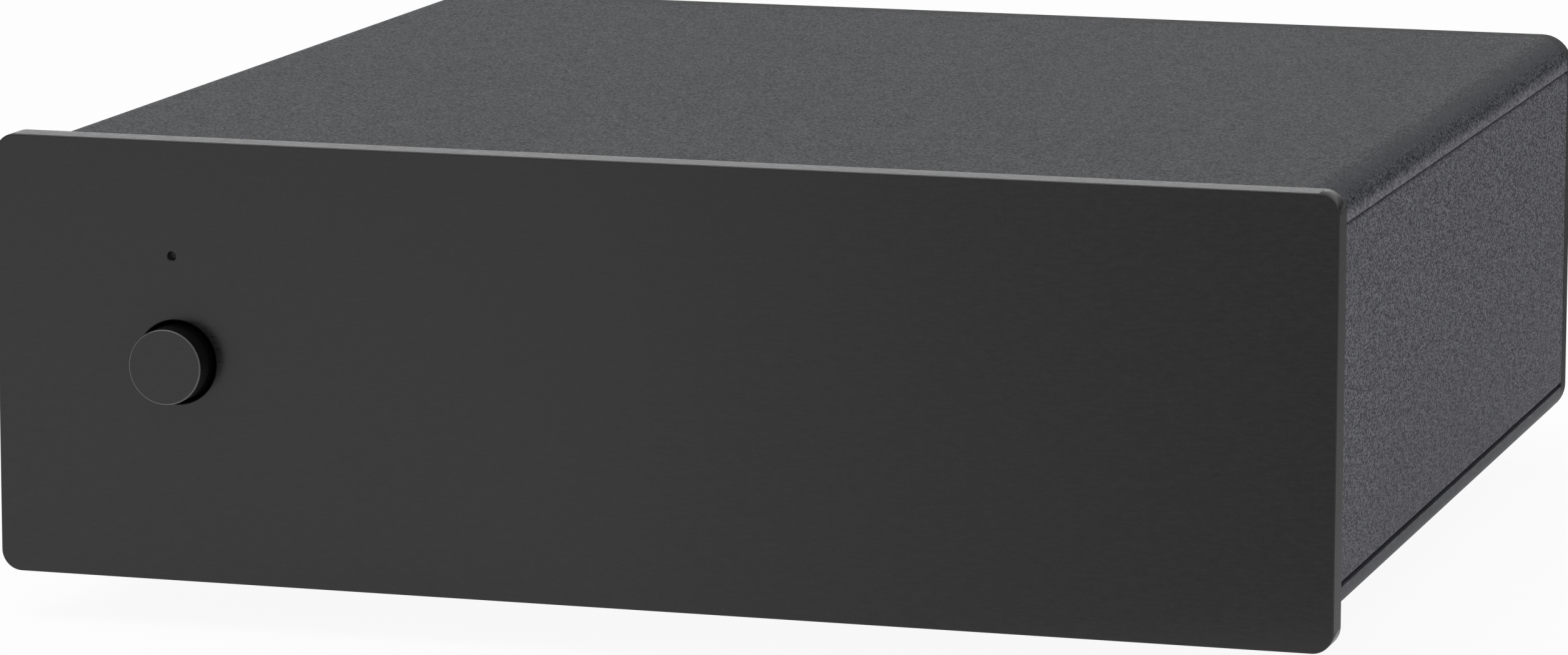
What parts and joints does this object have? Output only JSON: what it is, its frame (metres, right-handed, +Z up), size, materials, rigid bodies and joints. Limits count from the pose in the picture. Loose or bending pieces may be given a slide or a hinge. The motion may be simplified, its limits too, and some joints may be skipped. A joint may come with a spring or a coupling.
{
  "type": "phono preamp",
  "caption": "Small flat metal box with a thick front panel, a round power button, rear phono sockets, an earth post and feet.",
  "frame": {"origin": "on the surface that the feet stand on, in the middle of the whole width and length", "axes": "+Z up; the front panel faces -Y; +X to the right as seen from the front"},
  "size_m": [0.103, 0.113, 0.037],
  "materials": {
    "panel_black": "brushed, black anodised",
    "button_black": "satin, black anodised",
    "case_paint": "fine textured dark grey paint",
    "rear_black": "matte black paint",
    "bulkhead_steel": "zinc plated",
    "black_screw": "black oxide",
    "plain_screw": "zinc plated",
    "foot_rubber": "matte",
    "board": "green solder mask",
    "gold_plate": "gold plated",
    "nickel": "nickel plated",
    "spring_steel": "bright wire",
    "black_plastic": "moulded",
    "white_plastic": "moulded",
    "red_plastic": "moulded",
    "blue_plastic": "moulded",
    "lamp_clear": "clear moulded",
    "capacitor_sleeve": "heat-shrunk sleeve over a can",
    "relay_plastic": "moulded",
    "heatsink_black": "black anodised",
    "choke_winding": "lacquered copper wire on a core",
    "resistor_ceramic": "glazed top"
  },
  "bodies": {
    "case": {"front_panel": "panel_black", "top_cover": "case_paint", "bottom_cover": "case_paint", "left_side_rail": "case_paint", "right_side_rail": "case_paint", "rear_panel": "rear_black", "front_bulkhead": "bulkhead_steel", "rear_panel_screws": "black_screw", "socket_block_screws": "black_screw", "bulkhead_screws": "plain_screw", "front_panel_screws": "plain_screw", "front_left_foot": "foot_rubber", "front_right_foot": "foot_rubber", "rear_left_foot": "foot_rubber", "rear_right_foot": "foot_rubber", "main_board": "board", "input_left_shell": "gold_plate", "input_right_shell": "gold_plate", "output_left_shell": "gold_plate", "output_right_shell": "gold_plate", "centre_contacts": "gold_plate", "ground_stud": "nickel", "ground_inner_nut": "nickel", "ground_tag": "nickel", "dc_jack_pin": "nickel", "dc_jack_contact": "nickel", "switch_contacts": "nickel", "led_leads": "nickel", "switch_spring": "spring_steel", "switch_body": "black_plastic", "led_bush": "black_plastic", "input_socket_block": "black_plastic", "output_socket_block": "black_plastic", "dc_jack_body": "black_plastic", "op_amps": "black_plastic", "voltage_regulator": "black_plastic", "white_insulators": "white_plastic", "red_insulators": "red_plastic", "film_capacitors": "red_plastic", "left_setting_body": "blue_plastic", "right_setting_body": "blue_plastic", "status_led": "lamp_clear", "large_capacitors": "capacitor_sleeve", "small_capacitors": "capacitor_sleeve", "mute_relay": "relay_plastic", "regulator_heatsink": "heatsink_black", "supply_choke": "choke_winding", "chip_resistors": "resistor_ceramic"},
    "button": {"power_button": "button_black", "switch_plunger": "white_plastic"},
    "ground_washer": {"ground_washer": "nickel"},
    "ground_nut": {"ground_thumb_nut": "nickel"},
    "left_slider_1": {"left_slider_1": "white_plastic"},
    "left_slider_2": {"left_slider_2": "white_plastic"},
    "left_slider_3": {"left_slider_3": "white_plastic"},
    "left_slider_4": {"left_slider_4": "white_plastic"},
    "right_slider_1": {"right_slider_1": "white_plastic"},
    "right_slider_2": {"right_slider_2": "white_plastic"},
    "right_slider_3": {"right_slider_3": "white_plastic"},
    "right_slider_4": {"right_slider_4": "white_plastic"}
  },
  "joints": [
    {"name": "power_button_press", "type": "slide", "parent": "case", "child": "button", "axis": [0, 1, 0], "range_m": [0, 0.002], "stiffness_N_per_m": 400, "springref_m": -0.004, "deforming": ["switch_spring"]},
    {"name": "ground_washer_lift", "type": "slide", "parent": "case", "child": "ground_washer", "axis": [0, 1, 0], "range_m": [0, 0.0021]},
    {"name": "ground_nut_turn", "type": "hinge", "parent": "ground_washer", "child": "ground_nut", "pos_m": [0.0109, 0.0462, 0.022], "axis": [0, 1, 0], "range_deg": [0, 1085]},
    {"name": "left_setting_1", "type": "slide", "parent": "case", "child": "left_slider_1", "axis": [0, 1, 0], "range_m": [0, 0.0016]},
    {"name": "left_setting_2", "type": "slide", "parent": "case", "child": "left_slider_2", "axis": [0, 1, 0], "range_m": [-0.0016, 0]},
    {"name": "left_setting_3", "type": "slide", "parent": "case", "child": "left_slider_3", "axis": [0, 1, 0], "range_m": [-0.0016, 0]},
    {"name": "left_setting_4", "type": "slide", "parent": "case", "child": "left_slider_4", "axis": [0, 1, 0], "range_m": [0, 0.0016]},
    {"name": "right_setting_1", "type": "slide", "parent": "case", "child": "right_slider_1", "axis": [0, 1, 0], "range_m": [0, 0.0016]},
    {"name": "right_setting_2", "type": "slide", "parent": "case", "child": "right_slider_2", "axis": [0, 1, 0], "range_m": [-0.0016, 0]},
    {"name": "right_setting_3", "type": "slide", "parent": "case", "child": "right_slider_3", "axis": [0, 1, 0], "range_m": [-0.0016, 0]},
    {"name": "right_setting_4", "type": "slide", "parent": "case", "child": "right_slider_4", "axis": [0, 1, 0], "range_m": [0, 0.0016]}
  ],
  "couplings": [
    {"joint": "ground_nut_turn", "follows": "ground_washer_lift", "rad_per_m": 8976}
  ]
}
